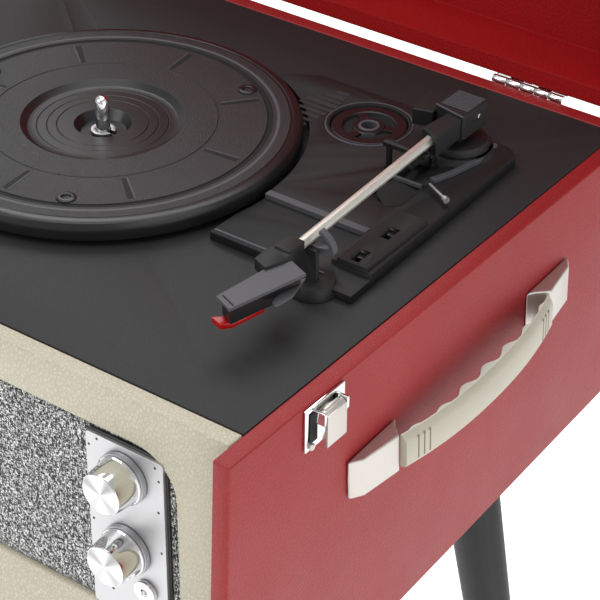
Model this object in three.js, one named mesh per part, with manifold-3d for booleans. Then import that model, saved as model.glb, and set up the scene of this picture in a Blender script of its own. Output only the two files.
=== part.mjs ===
// A suitcase record player on four splayed legs: a leatherette-covered case with a
// hinged lid, a belt-driven platter and a tonearm on a moulded base, loudspeakers
// behind a tweed grille and two knobs on a metal panel.
// Millimetres, +Z up, front towards -Y. Everything is first laid out from the point
// where the spindle's axis meets the top of the deck; the last lines move the origin
// to the middle of the footprint, on the floor.

import * as THREE from 'three';
import { mergeVertices } from 'three/addons/utils/BufferGeometryUtils.js';
import Module from 'manifold-3d';

const wasm = await Module();
wasm.setup();

// ---------------------------------------------------------------- driving sizes

const GAP = 0.3; // clearance between pieces that touch
const BOARD = 9; // thickness of the case's boards
const DEG = Math.PI / 180;

const CASE = {
  left: -191.5,
  right: 208.5,
  front: -168,
  back: 166,
  floorAtSpindle: -159.4, // underside height at y = 0
  floorSlope: 0.057, // the underside rises towards the back
  frontLean: 0.05, // the side panels' front edges lean forward as they go down
};
const INNER = { left: CASE.left + BOARD, right: CASE.right - BOARD };

const BAFFLE = { front: -156, back: -147 };
const WINDOW = { left: -154, right: 170, top: -23, bottom: -122.5, radius: 22 };
const CLOTH = { front: -153.6, thickness: 1.2 };
const GRILLE_BOARD = { front: -152.1, back: -147.4, speakerHole: 37, shaftHole: 4.6 };
const SPEAKERS = [{ name: 'speaker_left', x: -88 }, { name: 'speaker_right', x: 62 }];
const SPEAKER_Z = -72.5;

const PANEL = { left: 122, right: 165.6, top: -25.2, bottom: -121.6, front: -156.9, back: -153.9 };
const KNOB = { x: 143, volumeZ: -42.2, functionZ: -81.6, skirt: 12.8, face: 10.2, length: 15.6 };
const SOCKET = { x: 153, z: -100.6 };

const DECK = { thickness: 6 };

const PLATTER = { radius: 98, top: 12, bottom: 3.2, rim: 62, rimBottom: 1.2 };
const SPINDLE = { radius: 3.55, top: 24, bottom: -27 };
const PULLEY = { x: -52, y: 60.5, radius: 6.2 };
const BELT = { thickness: 0.7, bottom: 2.4, top: 6.6 };

const BASE = { bottom: 0.3, low: 4.2, high: 6.5, panel: 8.2 };
const WELL = { x: 102.3, y: 80.8, radius: 19.6, floor: 1.8 };
const ADAPTER = { radius: 19.1, bottom: 2.1, top: 6.2, hub: 6.2, hole: 3.75 };
const SWITCHES = [{ name: 'speed_switch', y: 1.7 }, { name: 'stop_switch', y: -21.6 }];
const SWITCH_X = 168.7;

const PIVOT = { x: 149.5, y: 88, z: 24.5 };
const REST_POST = { x: 158.5, back: -44.6, axisZ: 19.5, left: 150.6, right: 162.4, top: 21.2 };
const CUE = { x: 144.9, y: 66.5, z: 9 };
const LIFT = { x: 133.6, y: 52 };

const LID = { depth: 58, openAngle: 100, gap: 0.3 };
const HINGE = { y: CASE.back + 3.1, z: 0, radius: 2.4, pin: 1.0, width: 42, xs: [-123.5, 140.5] };
const LEAF = { y0: CASE.back + GAP, y1: CASE.back + 1.7, reach: 16 };

const HANDLE = { y: 4.5, z: -53, tilt: 3.05, half: 92, gripHalf: 62, width: 18.8, rise: 9.8 };
const LATCH = { y: -105.5, width: 28, top: -1.2, bottom: -22.5, pivotZ: -6.2 };

const LEG = { insetX: 61.3, insetY: 59, top: 16.5, tip: 8.5, splayX: 0.12, splayY: 0.1, floor: -532 };

// -------------------------------------------------------------------- materials

const finish = (color, roughness, metalness = 0) =>
  new THREE.MeshStandardMaterial({ color, roughness, metalness });

const RED = finish(0xa83a3e, 0.55);
const CREAM = finish(0xe0dcc8, 0.6);
const IVORY = finish(0xcfcfbe, 0.45);
const DECK_BLACK = finish(0x2b2b2d, 0.6);
const MOULDED = finish(0x202022, 0.45);
const CHROME = finish(0xd6d6d6, 0.15, 1);
const SILVER = finish(0xc8c8cc, 0.3, 1);
const BRASS = finish(0xb5904a, 0.35, 1);
const STEEL = finish(0x9a9a9e, 0.35, 1);
const TWEED = finish(0x6a6a6c, 0.95);
const RUBBER = finish(0x161616, 0.8);
const LACQUER = finish(0x262628, 0.35);
const PAPER = finish(0x1c1c1e, 0.85);
const BOARD_GREEN = finish(0x2e5a36, 0.5);
const STYLUS_RED = finish(0xc01018, 0.35);

// ---------------------------------------------------------------- shape helpers

// Closed triangle mesh -> solid that can be cut and joined.
function solid(geometry) {
  const bare = geometry.clone();
  bare.deleteAttribute('normal');
  bare.deleteAttribute('uv');
  const merged = mergeVertices(bare, 1e-4);
  return new wasm.Manifold(
    new wasm.Mesh({
      numProp: 3,
      vertProperties: new Float32Array(merged.attributes.position.array),
      triVerts: new Uint32Array(merged.index.array),
    }),
  );
}

function geometryOf(manifold) {
  const mesh = manifold.getMesh();
  const geometry = new THREE.BufferGeometry();
  geometry.setAttribute('position', new THREE.BufferAttribute(mesh.vertProperties, 3));
  geometry.setIndex(new THREE.BufferAttribute(mesh.triVerts, 1));
  geometry.computeVertexNormals();
  return geometry;
}

const join = (...shapes) => geometryOf(shapes.map(solid).reduce((a, b) => a.add(b)));
const cut = (body, ...tools) =>
  geometryOf(tools.map(solid).reduce((a, b) => a.subtract(b), solid(body)));
const common = (a, b) => geometryOf(solid(a).intersect(solid(b)));

function box(x0, x1, y0, y1, z0, z1) {
  const geometry = new THREE.BoxGeometry(x1 - x0, y1 - y0, z1 - z0);
  return geometry.translate((x0 + x1) / 2, (y0 + y1) / 2, (z0 + z1) / 2);
}

// Cylinder or frustum from z0 to z1 about a vertical axis.
function drum(x, y, z0, z1, r0, r1 = r0, sides = 24) {
  const geometry = new THREE.CylinderGeometry(r1, r0, z1 - z0, sides);
  return geometry.rotateX(Math.PI / 2).translate(x, y, (z0 + z1) / 2);
}

function rodX(x0, x1, y, z, radius, sides = 20) {
  const geometry = new THREE.CylinderGeometry(radius, radius, x1 - x0, sides);
  return geometry.rotateZ(-Math.PI / 2).translate((x0 + x1) / 2, y, z);
}

function rodY(x, z, y0, y1, r0, r1 = r0, sides = 24) {
  const geometry = new THREE.CylinderGeometry(r1, r0, y1 - y0, sides);
  return geometry.translate(x, (y0 + y1) / 2, z);
}

// Profile of [radius, height] pairs turned about the vertical axis. The profile may be
// listed either way round.
function turned(profile, sides = 48) {
  const points = profile.map(([r, z]) => new THREE.Vector2(r, z));
  if (THREE.ShapeUtils.area(points) < 0) points.reverse();
  return new THREE.LatheGeometry(points, sides).rotateX(Math.PI / 2);
}

// The same, turned about an axis that points out of the front; heights grow backwards.
const turnedFront = (profile, sides = 24) => turned(profile, sides).rotateX(-Math.PI / 2);

const outline = (points) => new THREE.Shape(points.map(([x, y]) => new THREE.Vector2(x, y)));

function roundedRect(x0, x1, y0, y1, radii) {
  const [tl, tr, br, bl] = Array.isArray(radii) ? radii : [radii, radii, radii, radii];
  const shape = new THREE.Shape();
  shape.moveTo(x0 + bl, y0);
  shape.lineTo(x1 - br, y0);
  shape.absarc(x1 - br, y0 + br, br, -Math.PI / 2, 0, false);
  shape.lineTo(x1, y1 - tr);
  shape.absarc(x1 - tr, y1 - tr, tr, 0, Math.PI / 2, false);
  shape.lineTo(x0 + tl, y1);
  shape.absarc(x0 + tl, y1 - tl, tl, Math.PI / 2, Math.PI, false);
  shape.lineTo(x0, y0 + bl);
  shape.absarc(x0 + bl, y0 + bl, bl, Math.PI, Math.PI * 1.5, false);
  return shape;
}

const extrude = (shape, depth, curveSegments = 6) =>
  new THREE.ExtrudeGeometry(shape, { depth, bevelEnabled: false, curveSegments });

// Outline in X and Y, raised from z0 to z1.
const raised = (shape, z0, z1, curveSegments) =>
  extrude(shape, z1 - z0, curveSegments).translate(0, 0, z0);

// Outline in X and Z, running from y0 (front) back to y1.
const standing = (shape, y0, y1, curveSegments) =>
  extrude(shape, y1 - y0, curveSegments).rotateX(Math.PI / 2).translate(0, y1, 0);

// Outline in Y and Z, running from x0 to x1.
const sideways = (shape, x0, x1, curveSegments) =>
  extrude(shape, x1 - x0, curveSegments).rotateX(Math.PI / 2).rotateZ(Math.PI / 2).translate(x0, 0, 0);

const underside = (y) => CASE.floorAtSpindle + CASE.floorSlope * y;

const group = new THREE.Group();

function add(name, geometry, material, parent = group) {
  const mesh = new THREE.Mesh(geometry, material);
  mesh.name = name;
  parent.add(mesh);
  return mesh;
}

// ------------------------------------------------------------------------- case

function sidePanel(x0) {
  const lean = (y) => CASE.front + CASE.frontLean * underside(y);
  const footY = lean(lean(CASE.front));
  return sideways(
    outline([
      [CASE.front, 0],
      [CASE.back, 0],
      [CASE.back, underside(CASE.back)],
      [footY, underside(footY)],
    ]),
    x0,
    x0 + BOARD,
  );
}

function buildCase() {
  add('side_panel_left', sidePanel(CASE.left), RED);
  add('side_panel_right', sidePanel(INNER.right), RED);

  const x0 = INNER.left + GAP;
  const x1 = INNER.right - GAP;
  const window = roundedRect(WINDOW.left, WINDOW.right, WINDOW.bottom, WINDOW.top, WINDOW.radius);
  const baffle = box(x0, x1, BAFFLE.front, BAFFLE.back, underside(BAFFLE.front) + 1, 0);
  add('front_baffle', cut(baffle, standing(window, BAFFLE.front - 1, BAFFLE.back + 1)), CREAM);

  const back = box(x0, x1, CASE.back - BOARD, CASE.back, underside(CASE.back) + 1, 0);
  const socketHole = box(-60, 40, CASE.back - BOARD - 1, CASE.back + 1, -96, -60);
  add('back_panel', cut(back, socketHole), RED);

  const y0 = BAFFLE.back + GAP;
  const y1 = CASE.back - BOARD - GAP;
  const floor = outline([
    [y0, underside(y0)],
    [y1, underside(y1)],
    [y1, underside(y1) + BOARD],
    [y0, underside(y0) + BOARD],
  ]);
  add('bottom_panel', sideways(floor, x0, x1), PAPER);

  const deck = box(x0, x1, y0, y1, -DECK.thickness, 0);
  const bushHole = drum(0, 0, -20, 20, 9.4);
  const pulleyHole = drum(PULLEY.x, PULLEY.y, -20, 20, 9);
  const armHole = drum(PIVOT.x, PIVOT.y, -20, 20, 9);
  const liftHole = drum(LIFT.x, LIFT.y, -20, 20, 3.2, 3.2, 16);
  add('deck_board', cut(deck, bushHole, pulleyHole, armHole, liftHole), DECK_BLACK);
}

// A recessed tray on a flange, with two phono sockets and a mains inlet in its floor.
const CONNECTORS = { z: -78, phonoXs: [-40, -18], phonoRadius: 4.2, inletX: 16, inletRadius: 5.4 };

function buildConnectors() {
  const { z, phonoXs, phonoRadius, inletX, inletRadius } = CONNECTORS;
  const barrel = (x, radius) =>
    rodY(x, z, CASE.back - 7, CASE.back + 1.5, radius, radius, 20);
  const flange = box(-66, 46, CASE.back + GAP, CASE.back + 2.3, -102, -54);
  const tray = box(-59.6, 39.6, CASE.back - 8, CASE.back + 1, -95.6, -60.4);
  const hollow = box(-57.6, 37.6, CASE.back - 6, CASE.back + 5, -93.6, -62.4);
  const bore = rodY(inletX, z, CASE.back - 4, CASE.back + 5, 3.2, 3.2, 20);
  const shell = cut(join(flange, tray), hollow);
  const phonos = phonoXs.map((x) => barrel(x, phonoRadius));
  const fitted = join(shell, ...phonos, barrel(inletX, inletRadius));
  add('connector_plate', cut(fitted, bore), MOULDED);
}

// --------------------------------------------------------- grille and speakers

// Bores for the two shafts and the headphone socket, through panel, cloth and board.
function controlHoles() {
  const radius = GRILLE_BOARD.shaftHole;
  const centres = [[KNOB.x, KNOB.volumeZ], [KNOB.x, KNOB.functionZ], [SOCKET.x, SOCKET.z]];
  return centres.map(([x, z]) => rodY(x, z, -170, -140, radius, radius, 12));
}

function buildGrille() {
  const inset = 0.4;
  const shape = () =>
    roundedRect(
      WINDOW.left + inset,
      WINDOW.right - inset,
      WINDOW.bottom + inset,
      WINDOW.top - inset,
      WINDOW.radius - inset,
    );
  const shaftHoles = controlHoles();
  const cloth = standing(shape(), CLOTH.front, CLOTH.front + CLOTH.thickness);
  add('grille_cloth', cut(cloth, ...shaftHoles), TWEED);
  const board = standing(shape(), GRILLE_BOARD.front, GRILLE_BOARD.back);
  const openings = SPEAKERS.map(({ x }) =>
    rodY(x, SPEAKER_Z, -170, -140, GRILLE_BOARD.speakerHole, GRILLE_BOARD.speakerHole, 28),
  );
  add('grille_board', cut(board, ...openings, ...shaftHoles), PAPER);

  for (const { name, x } of SPEAKERS) {
    // Frame, cone, basket and magnet in one turned body, open towards the front.
    const driver = turnedFront([
      [0, 24],
      [9, 20],
      [12, 22],
      [31, 5],
      [35, 2],
      [37.5, 0.5],
      [44, 0.5],
      [44, 3],
      [36, 4.5],
      [20, 28],
      [20, 30],
      [27, 30],
      [27, 44],
      [0, 44],
    ]);
    add(name, driver.translate(x, GRILLE_BOARD.back, SPEAKER_Z), PAPER);
  }
}

// ---------------------------------------------------------------- control panel

function buildControls() {
  const plate = standing(
    roundedRect(PANEL.left, PANEL.right, PANEL.bottom, PANEL.top, [8, 21.5, 21.5, 8]),
    PANEL.front,
    PANEL.back,
  );
  add('control_panel', cut(plate, ...controlHoles()), SILVER);

  for (const [name, z] of [['volume', KNOB.volumeZ], ['function', KNOB.functionZ]]) {
    const back = -GAP;
    const knob = turnedFront([
      [0, -KNOB.length],
      [KNOB.face, -KNOB.length],
      [KNOB.face + 0.4, -KNOB.length + 0.7],
      [KNOB.face + 1.3, -4.6],
      [KNOB.skirt - 0.5, -4.4],
      [KNOB.skirt, -3.8],
      [KNOB.skirt, back],
      [3.4, back],
      [3.4, -9],
      [0, -9],
    ]);
    add(`${name}_knob`, knob.translate(KNOB.x, PANEL.front, z), CHROME);
    const shaft = rodY(KNOB.x, z, PANEL.front - 8.4, -146, 3, 3, 20);
    const collar = rodY(KNOB.x, z, -147, -139, 8, 8, 24);
    const body = box(KNOB.x - 8.5, KNOB.x + 8.5, -144, -136, z - 8.5, z + 8.5);
    add(`${name}_potentiometer`, join(shaft, collar, body), STEEL);
  }

  const ring = rodY(SOCKET.x, SOCKET.z, PANEL.front - 2.4, PANEL.front - GAP, 5.8, 5.8, 24);
  const barrel = rodY(SOCKET.x, SOCKET.z, PANEL.front - 2, -134, 4.2, 4.2, 24);
  const bore = rodY(SOCKET.x, SOCKET.z, PANEL.front - 5, -138, 1.9, 1.9, 20);
  add('headphone_socket', cut(join(ring, barrel), bore), CHROME);
}

// ------------------------------------------------------------ platter and drive

function buildPlatter() {
  // Moulded disc: rolled rim, record area, label recess and spindle boss, a deep outer
  // skirt and an inner rim below for the belt.
  const { top, bottom, radius, rim, rimBottom } = PLATTER;
  const disc = turned(
    [
      [4, 4.6],
      [11.4, 4.6],
      [13.9, top - 2.6],
      [37, top - 2.6],
      [40, top],
      [81.6, top],
      [84.6, top - 1.6],
      [86.4, top + 0.2],
      [94.6, top - 0.6],
      [radius, top - 4.4],
      [radius, bottom],
      [radius - 2.6, bottom],
      [radius - 4.6, top - 5],
      [rim, top - 5],
      [rim, rimBottom],
      [rim - 2.4, rimBottom],
      [rim - 2.6, top - 5],
      [16, top - 5],
      [10, rimBottom],
      [4, rimBottom],
      [4, 4.6],
    ],
    48,
  );
  add('platter', disc, MOULDED);
}

function buildDrive() {
  const { radius, top, bottom } = SPINDLE;
  const pin = turned(
    [
      [0, bottom],
      [radius, bottom],
      [radius, top - 2.6],
      [radius - 0.9, top - 0.9],
      [radius - 2.2, top - 0.1],
      [0, top],
    ],
    24,
  );
  add('spindle', pin, CHROME);

  const ring = turned([[3.9, 5], [6.2, 5], [6.2, 6.1], [3.9, 6.1], [3.9, 5]], 24);
  add('spindle_clip', cut(ring, box(0, 8, -1.4, 1.4, 4, 7)), STEEL);

  const bush = turned(
    [
      [3.85, -24],
      [8.9, -24],
      [8.9, -GAP],
      [8.9, 0.8],
      [3.85, 0.8],
      [3.85, -24],
    ],
    28,
  );
  add('bearing_bush', bush, BRASS);

  const can = drum(PULLEY.x, PULLEY.y, -30, -DECK.thickness - GAP, 17.5, 17.5, 36);
  const shaft = drum(PULLEY.x, PULLEY.y, -8, 5.6, 1, 1, 16);
  add('motor', join(can, shaft), STEEL);

  const pulley = turned(
    [
      [1.3, 1.6],
      [PULLEY.radius + 0.9, 1.6],
      [PULLEY.radius + 0.9, 2.1],
      [PULLEY.radius, 2.1],
      [PULLEY.radius, 6.5],
      [1.3, 6.5],
      [1.3, 1.6],
    ],
    28,
  );
  add('motor_pulley', pulley.translate(PULLEY.x, PULLEY.y, 0), BRASS);
  buildBelt();
}

function buildBelt() {
  // Two arcs joined by the straight runs that touch both circles.
  const distance = Math.hypot(PULLEY.x, PULLEY.y);
  const heading = Math.atan2(PULLEY.y, PULLEY.x);
  const loop = (extra) => {
    const large = PLATTER.rim + GAP + extra;
    const small = PULLEY.radius + GAP + extra;
    const spread = Math.acos((large - small) / distance);
    const shape = new THREE.Shape();
    shape.absarc(0, 0, large, heading + spread, heading - spread + 2 * Math.PI, false);
    shape.absarc(PULLEY.x, PULLEY.y, small, heading - spread, heading + spread, false);
    shape.closePath();
    return raised(shape, BELT.bottom, BELT.top, 24);
  };
  const hollow = loop(0).translate(0, 0, -1);
  const taller = loop(0).translate(0, 0, 1);
  add('drive_belt', cut(loop(BELT.thickness), hollow, taller), RUBBER);
}

// ---------------------------------------------------------------- tonearm base

function baseOutline() {
  // Plate behind and beside the platter, with a concave edge that follows the platter.
  const clear = PLATTER.radius + 3;
  const start = Math.atan2(-22, 98.5);
  const end = Math.atan2(96, 37);
  const shape = new THREE.Shape();
  shape.moveTo(98.5, -40.8);
  shape.lineTo(150, -40.8);
  shape.lineTo(150, -46);
  shape.lineTo(180.5, -46);
  shape.lineTo(176, 98);
  shape.lineTo(170, 102.5);
  shape.lineTo(118, 108);
  shape.lineTo(54, 108);
  shape.lineTo(38, 98);
  shape.absarc(0, 0, clear, end, start, true);
  return shape;
}

function buildBase() {
  const { bottom, low, high, panel } = BASE;
  const plate = raised(baseOutline(), bottom, high, 12);
  const frontStep = sideways(
    outline([[-60, low], [-3, low], [4, high], [4, 30], [-60, 30]]),
    60,
    158,
  );
  const frontFoot = box(150, 190, -60, -29, low, 30);
  const boss = drum(REST_POST.x + 2, REST_POST.back - 1.4, bottom, low + 1.6, 11.5, 9.5, 32);
  const switchDeck = raised(
    outline([[160.8, -28.8], [177.2, -28.8], [176.2, 21], [160.8, 21]]),
    low - 1,
    panel,
  );
  const turret = drum(PIVOT.x, PIVOT.y, low, 8.6, 21, 17, 36);
  const well = drum(WELL.x, WELL.y, WELL.floor, 20, WELL.radius, WELL.radius, 48);
  const armBore = drum(PIVOT.x, PIVOT.y, -5, 20, 7.6, 7.6, 28);
  const leverSlot = box(140.4, 149.4, 48, 70, 3.4, 20);
  const finger = raised(roundedRect(139.8, 156.4, 23.6, 47.6, [0.1, 0.1, 8, 8]), 4.6, 20);
  const slots = SWITCHES.map(({ y }) => box(SWITCH_X - 2.3, SWITCH_X + 2.3, y - 5, y + 5, 2.5, 20));
  const liftBore = drum(LIFT.x, LIFT.y, -5, 20, 1.9, 1.9, 16);
  const ears = [-5.2, 3.9].map((dx) =>
    box(CUE.x + dx, CUE.x + dx + 1.3, CUE.y - 2.2, CUE.y + 2.2, low, CUE.z + 2.4),
  );
  const cuePinHole = rodX(CUE.x - 9, CUE.x + 9, CUE.y, CUE.z, 1.35, 12);
  const postFront = REST_POST.back - 2.8;
  const post = box(REST_POST.left, REST_POST.right, postFront, REST_POST.back, low, REST_POST.top);
  const pinHole = rodY(REST_POST.x, REST_POST.axisZ, -60, -30, 1.2, 1.2, 16);
  const body = cut(
    join(cut(plate, frontStep, frontFoot, leverSlot), ...ears, boss, switchDeck, turret, post),
    well,
    armBore,
    finger,
    ...slots,
    liftBore,
    cuePinHole,
    pinHole,
  );
  add('turntable_base', body, MOULDED);
}

function buildAdapter() {
  // Flat puck with a raised rim, a hub and three through windows.
  const { radius, bottom, top, hub, hole } = ADAPTER;
  const puck = turned(
    [
      [hole, bottom],
      [radius, bottom],
      [radius, top],
      [radius - 1.4, top],
      [radius - 3, top - 1.4],
      [hub + 1.4, top - 1.4],
      [hub, top],
      [hole, top],
      [hole, bottom],
    ],
    32,
  );
  const windows = [0, 1, 2].map((i) => {
    const middle = (i * 120 + 215) * DEG;
    const shape = new THREE.Shape();
    shape.absarc(0, 0, 15.4, middle - 34 * DEG, middle + 34 * DEG, false);
    shape.absarc(0, 0, 9.6, middle + 24 * DEG, middle - 24 * DEG, true);
    shape.closePath();
    return raised(shape, bottom - 1, top + 1, 5);
  });
  add('adapter_45', cut(puck, ...windows).translate(WELL.x, WELL.y, 0), MOULDED);
}

function buildSwitches() {
  for (const { name, y } of SWITCHES) {
    const shoe = box(SWITCH_X - 1.9, SWITCH_X + 1.9, y - 0.6, y + 4.6, 2.9, 7.4);
    const stub = box(SWITCH_X - 1.1, SWITCH_X + 1.1, y + 1.1, y + 2.9, 7, 9.6);
    add(name, join(shoe, stub), MOULDED);
  }
}

// --------------------------------------------------------------------- tonearm

function buildTurret() {
  // Vertical bearing: a journal through the deck, a drum above it and a post that
  // carries the cross pin of the lift pivot.
  const journal = drum(PIVOT.x, PIVOT.y, -14, 10, 7.2, 7.2, 28);
  const foot = drum(PIVOT.x, PIVOT.y, 8.9, 12.5, 15.5, 14, 36);
  const post = box(PIVOT.x - 3.6, PIVOT.x + 3.6, PIVOT.y - 4, PIVOT.y + 4, 12, PIVOT.z + 2.1);
  const pin = rodX(PIVOT.x - 8.8, PIVOT.x + 8.8, PIVOT.y, PIVOT.z, 1.2, 16);
  add('arm_turret', join(journal, foot, post, pin), MOULDED);
}

function buildArm() {
  const { x, y, z } = PIVOT;
  const shell = join(
    box(x - 9, x + 9, y - 12, y + 12.5, z - 6.4, z + 6),
    sideways(outline([[-13, 0], [17, 0], [17, 6], [-13, 1]]), -13, 0).translate(x - 8.5, y, z - 2),
  );
  const chamber = box(x - 4.4, x + 4.4, y - 6.4, y + 6.4, z - 8, z + 3.4);
  const bearing = rodX(x - 12, x + 12, y, z, 1.5, 16);
  const collar = sideways(
    outline([[-30.6, -4], [-11.5, -5], [-11.5, 5], [-27.6, 5], [-30.6, 2.6]]),
    x - 4.8,
    x + 4.8,
  ).translate(0, y, z);
  const bore = rodY(x, z, y - 40, y - 20, 3.3, 3.3, 20).applyMatrix4(armYaw());
  add('arm_housing', cut(join(shell, collar), chamber, bearing, bore), MOULDED);

  const tubeBack = y - 21;
  const tubeFront = HEAD.y;
  const tube = rodY(x, z, tubeFront, tubeBack, 3, 3.1, 8);
  add('arm_tube', tube.applyMatrix4(armYaw()), SILVER);

  add('headshell', headshell(), MOULDED);
  add('cartridge', cartridge(), MOULDED);
  add('stylus', stylus(), STYLUS_RED);
}

// The arm leans outwards a little: it turns about the vertical pivot axis.
function armYaw() {
  const lean = 2.4 * DEG;
  return new THREE.Matrix4()
    .makeTranslation(PIVOT.x, PIVOT.y, 0)
    .multiply(new THREE.Matrix4().makeRotationZ(lean))
    .multiply(new THREE.Matrix4().makeTranslation(-PIVOT.x, -PIVOT.y, 0));
}

const HEAD = { x: 155.5, y: -56, z: 24.5 };

// Moves a shape drawn about the end of the arm's tube to its place.
const atHead = (geometry) => geometry.translate(HEAD.x, HEAD.y, HEAD.z);

// Plan outlines of the pickup, about the end of the arm's tube.
const HEADSHELL_PLAN = [[-6.1, -3.4], [4.9, -4.1], [5.8, -12.8], [2.6, -22], [-5.5, -18.8]];
const CARTRIDGE_TOP_PLAN = [
  [7.4, -9.2], [5.95, -12.8], [2.7, -22.2], [1.2, -22], [-2.1, -49.7], [8.1, -54], [17.9, -13.5],
];
const CARTRIDGE_BODY_PLAN = [[8, -12], [3.4, -24], [-0.6, -47.6], [6.9, -51.8], [15.8, -14.5]];
const STYLUS_PLAN = [[4.2, -30], [0.4, -48], [-3.4, -51.6], [3, -53.8], [6.4, -50], [10, -32]];

function headshell() {
  const plate = raised(outline(HEADSHELL_PLAN), -2.6, 3);
  const socket = box(-3.6, 4.6, -7, 3.8, -4, 4);
  const bore = rodY(PIVOT.x, HEAD.z, HEAD.y - 1, HEAD.y + 20, 3.3, 3.3, 20).applyMatrix4(armYaw());
  return cut(atHead(join(plate, socket)), bore);
}

function cartridge() {
  const top = raised(outline(CARTRIDGE_TOP_PLAN), -3, 1.5);
  const body = raised(outline(CARTRIDGE_BODY_PLAN), -8.2, -2.5);
  return atHead(join(top, body));
}

function stylus() {
  return atHead(raised(outline(STYLUS_PLAN), -11.2, -8.5));
}

// --------------------------------------------------- cue lever, lift, rest clip

function buildCueing() {
  const lever = sideways(
    outline([[-2.6, -2.2], [2, -2.2], [2.4, 1.8], [-12, 5.4], [-17, 4.4], [-17, 2.4], [-11, 2.6]]),
    -3.6,
    3.6,
  );
  const pin = rodX(-5, 5, 0, 0, 1, 12);
  add('cue_lever', join(lever, pin).translate(CUE.x, CUE.y, CUE.z), MOULDED);

  const bridge = box(LIFT.x - 2.6, 155, LIFT.y - 2, LIFT.y + 2, 18.6, 20.9);
  const stem = drum(LIFT.x, LIFT.y, 0.6, 19, 1.55, 1.55, 16);
  add('arm_lift', join(bridge, stem), MOULDED);
}

// The hook runs between two angles, and the spoke between the hook and the hub.
const CLIP = { outer: 11.4, inner: 9.7, hub: 2.2, from: 5, spoke: 20, to: 72 };

function buildRestClip() {
  // Arc on a spoke, turning about a pin in the back of the rest post. Turned left it
  // passes over the arm's tube.
  const shape = new THREE.Shape();
  shape.absarc(0, 0, CLIP.outer, CLIP.from * DEG, CLIP.to * DEG, false);
  shape.absarc(0, 0, CLIP.inner, CLIP.to * DEG, CLIP.spoke * DEG, true);
  shape.absarc(0, 0, CLIP.hub, 45 * DEG, 325 * DEG, false);
  shape.closePath();
  const front = REST_POST.back + 0.4;
  const arc = standing(shape, front, front + 3.4, 10);
  const pin = rodY(0, 0, front - 2.4, front + 1, 0.9, 0.9, 16);
  add('arm_clip', join(arc, pin).translate(REST_POST.x, 0, REST_POST.axisZ), MOULDED);
}

// ------------------------------------------------------------------------- lid

// The lid is drawn shut and its group turned back about the hinge pins.
const lid = new THREE.Group();
lid.position.set(0, HINGE.y, HINGE.z);
lid.rotation.x = -LID.openAngle * DEG;
group.add(lid);
const addToLid = (name, geometry, material) =>
  add(name, geometry.translate(0, -HINGE.y, -HINGE.z), material, lid);

function buildLid() {
  const bottom = LID.gap;
  const top = LID.depth;
  const outer = box(CASE.left, CASE.right, CASE.front, CASE.back, bottom, top);
  const inner = box(
    CASE.left + BOARD,
    CASE.right - BOARD,
    CASE.front + BOARD,
    CASE.back - BOARD,
    bottom - 5,
    top - BOARD,
  );
  addToLid('lid_shell', cut(outer, inner), RED);

  for (const [side, x0, x1] of [
    ['right', CASE.right + GAP, CASE.right + 1.7],
    ['left', CASE.left - 1.7, CASE.left - GAP],
  ]) {
    const { y } = LATCH;
    const plate = box(x0, x1, y - 11, y + 11, 2.4, 15);
    const [hook0, hook1] = side === 'right' ? [x1 - 0.4, x1 + 1.2] : [x0 - 1.2, x0 + 0.4];
    addToLid(`lid_catch_${side}`, join(plate, box(hook0, hook1, y - 6, y + 6, 4, 7)), CHROME);
  }
}

// --------------------------------------------------------------------- hinges

function hingeLeaf(x, up, mine) {
  // A flat leaf below (or above) the pin, with a knuckle on some of its fifths.
  const { y, z, radius, pin, width } = HINGE;
  const fifth = width / 5;
  const clear = 3.2;
  const z0 = up ? z + clear : -LEAF.reach;
  const z1 = up ? LEAF.reach : z - clear;
  const strip = up ? [z, z0 + 0.5] : [z1 - 0.5, z];
  const plates = [box(x - width / 2, x + width / 2, LEAF.y0, LEAF.y1, z0, z1)];
  for (const i of mine) {
    const x0 = x - width / 2 + i * fifth + 0.2;
    const x1 = x0 + fifth - 0.4;
    plates.push(rodX(x0, x1, y, z, radius, 20));
    plates.push(box(x0, x1, LEAF.y0 + 0.7, LEAF.y1 + 0.2, ...strip));
  }
  const holes = up ? [rodX(x - width, x + width, y, z, pin + 0.35, 16)] : [];
  return cut(join(...plates), ...holes);
}

function buildHinges() {
  HINGE.xs.forEach((x, i) => {
    const side = i === 0 ? 'left' : 'right';
    const reach = HINGE.width / 2 - 0.6;
    // The pin is staked in the lower leaf's outer knuckles.
    const pin = rodX(x - reach, x + reach, HINGE.y, HINGE.z, HINGE.pin, 12);
    add(`hinge_leaf_${side}`, join(hingeLeaf(x, false, [0, 2, 4]), pin), STEEL);
    addToLid(`lid_hinge_leaf_${side}`, hingeLeaf(x, true, [1, 3]), STEEL);
  });
}

// --------------------------------------------------------------------- handle

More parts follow.
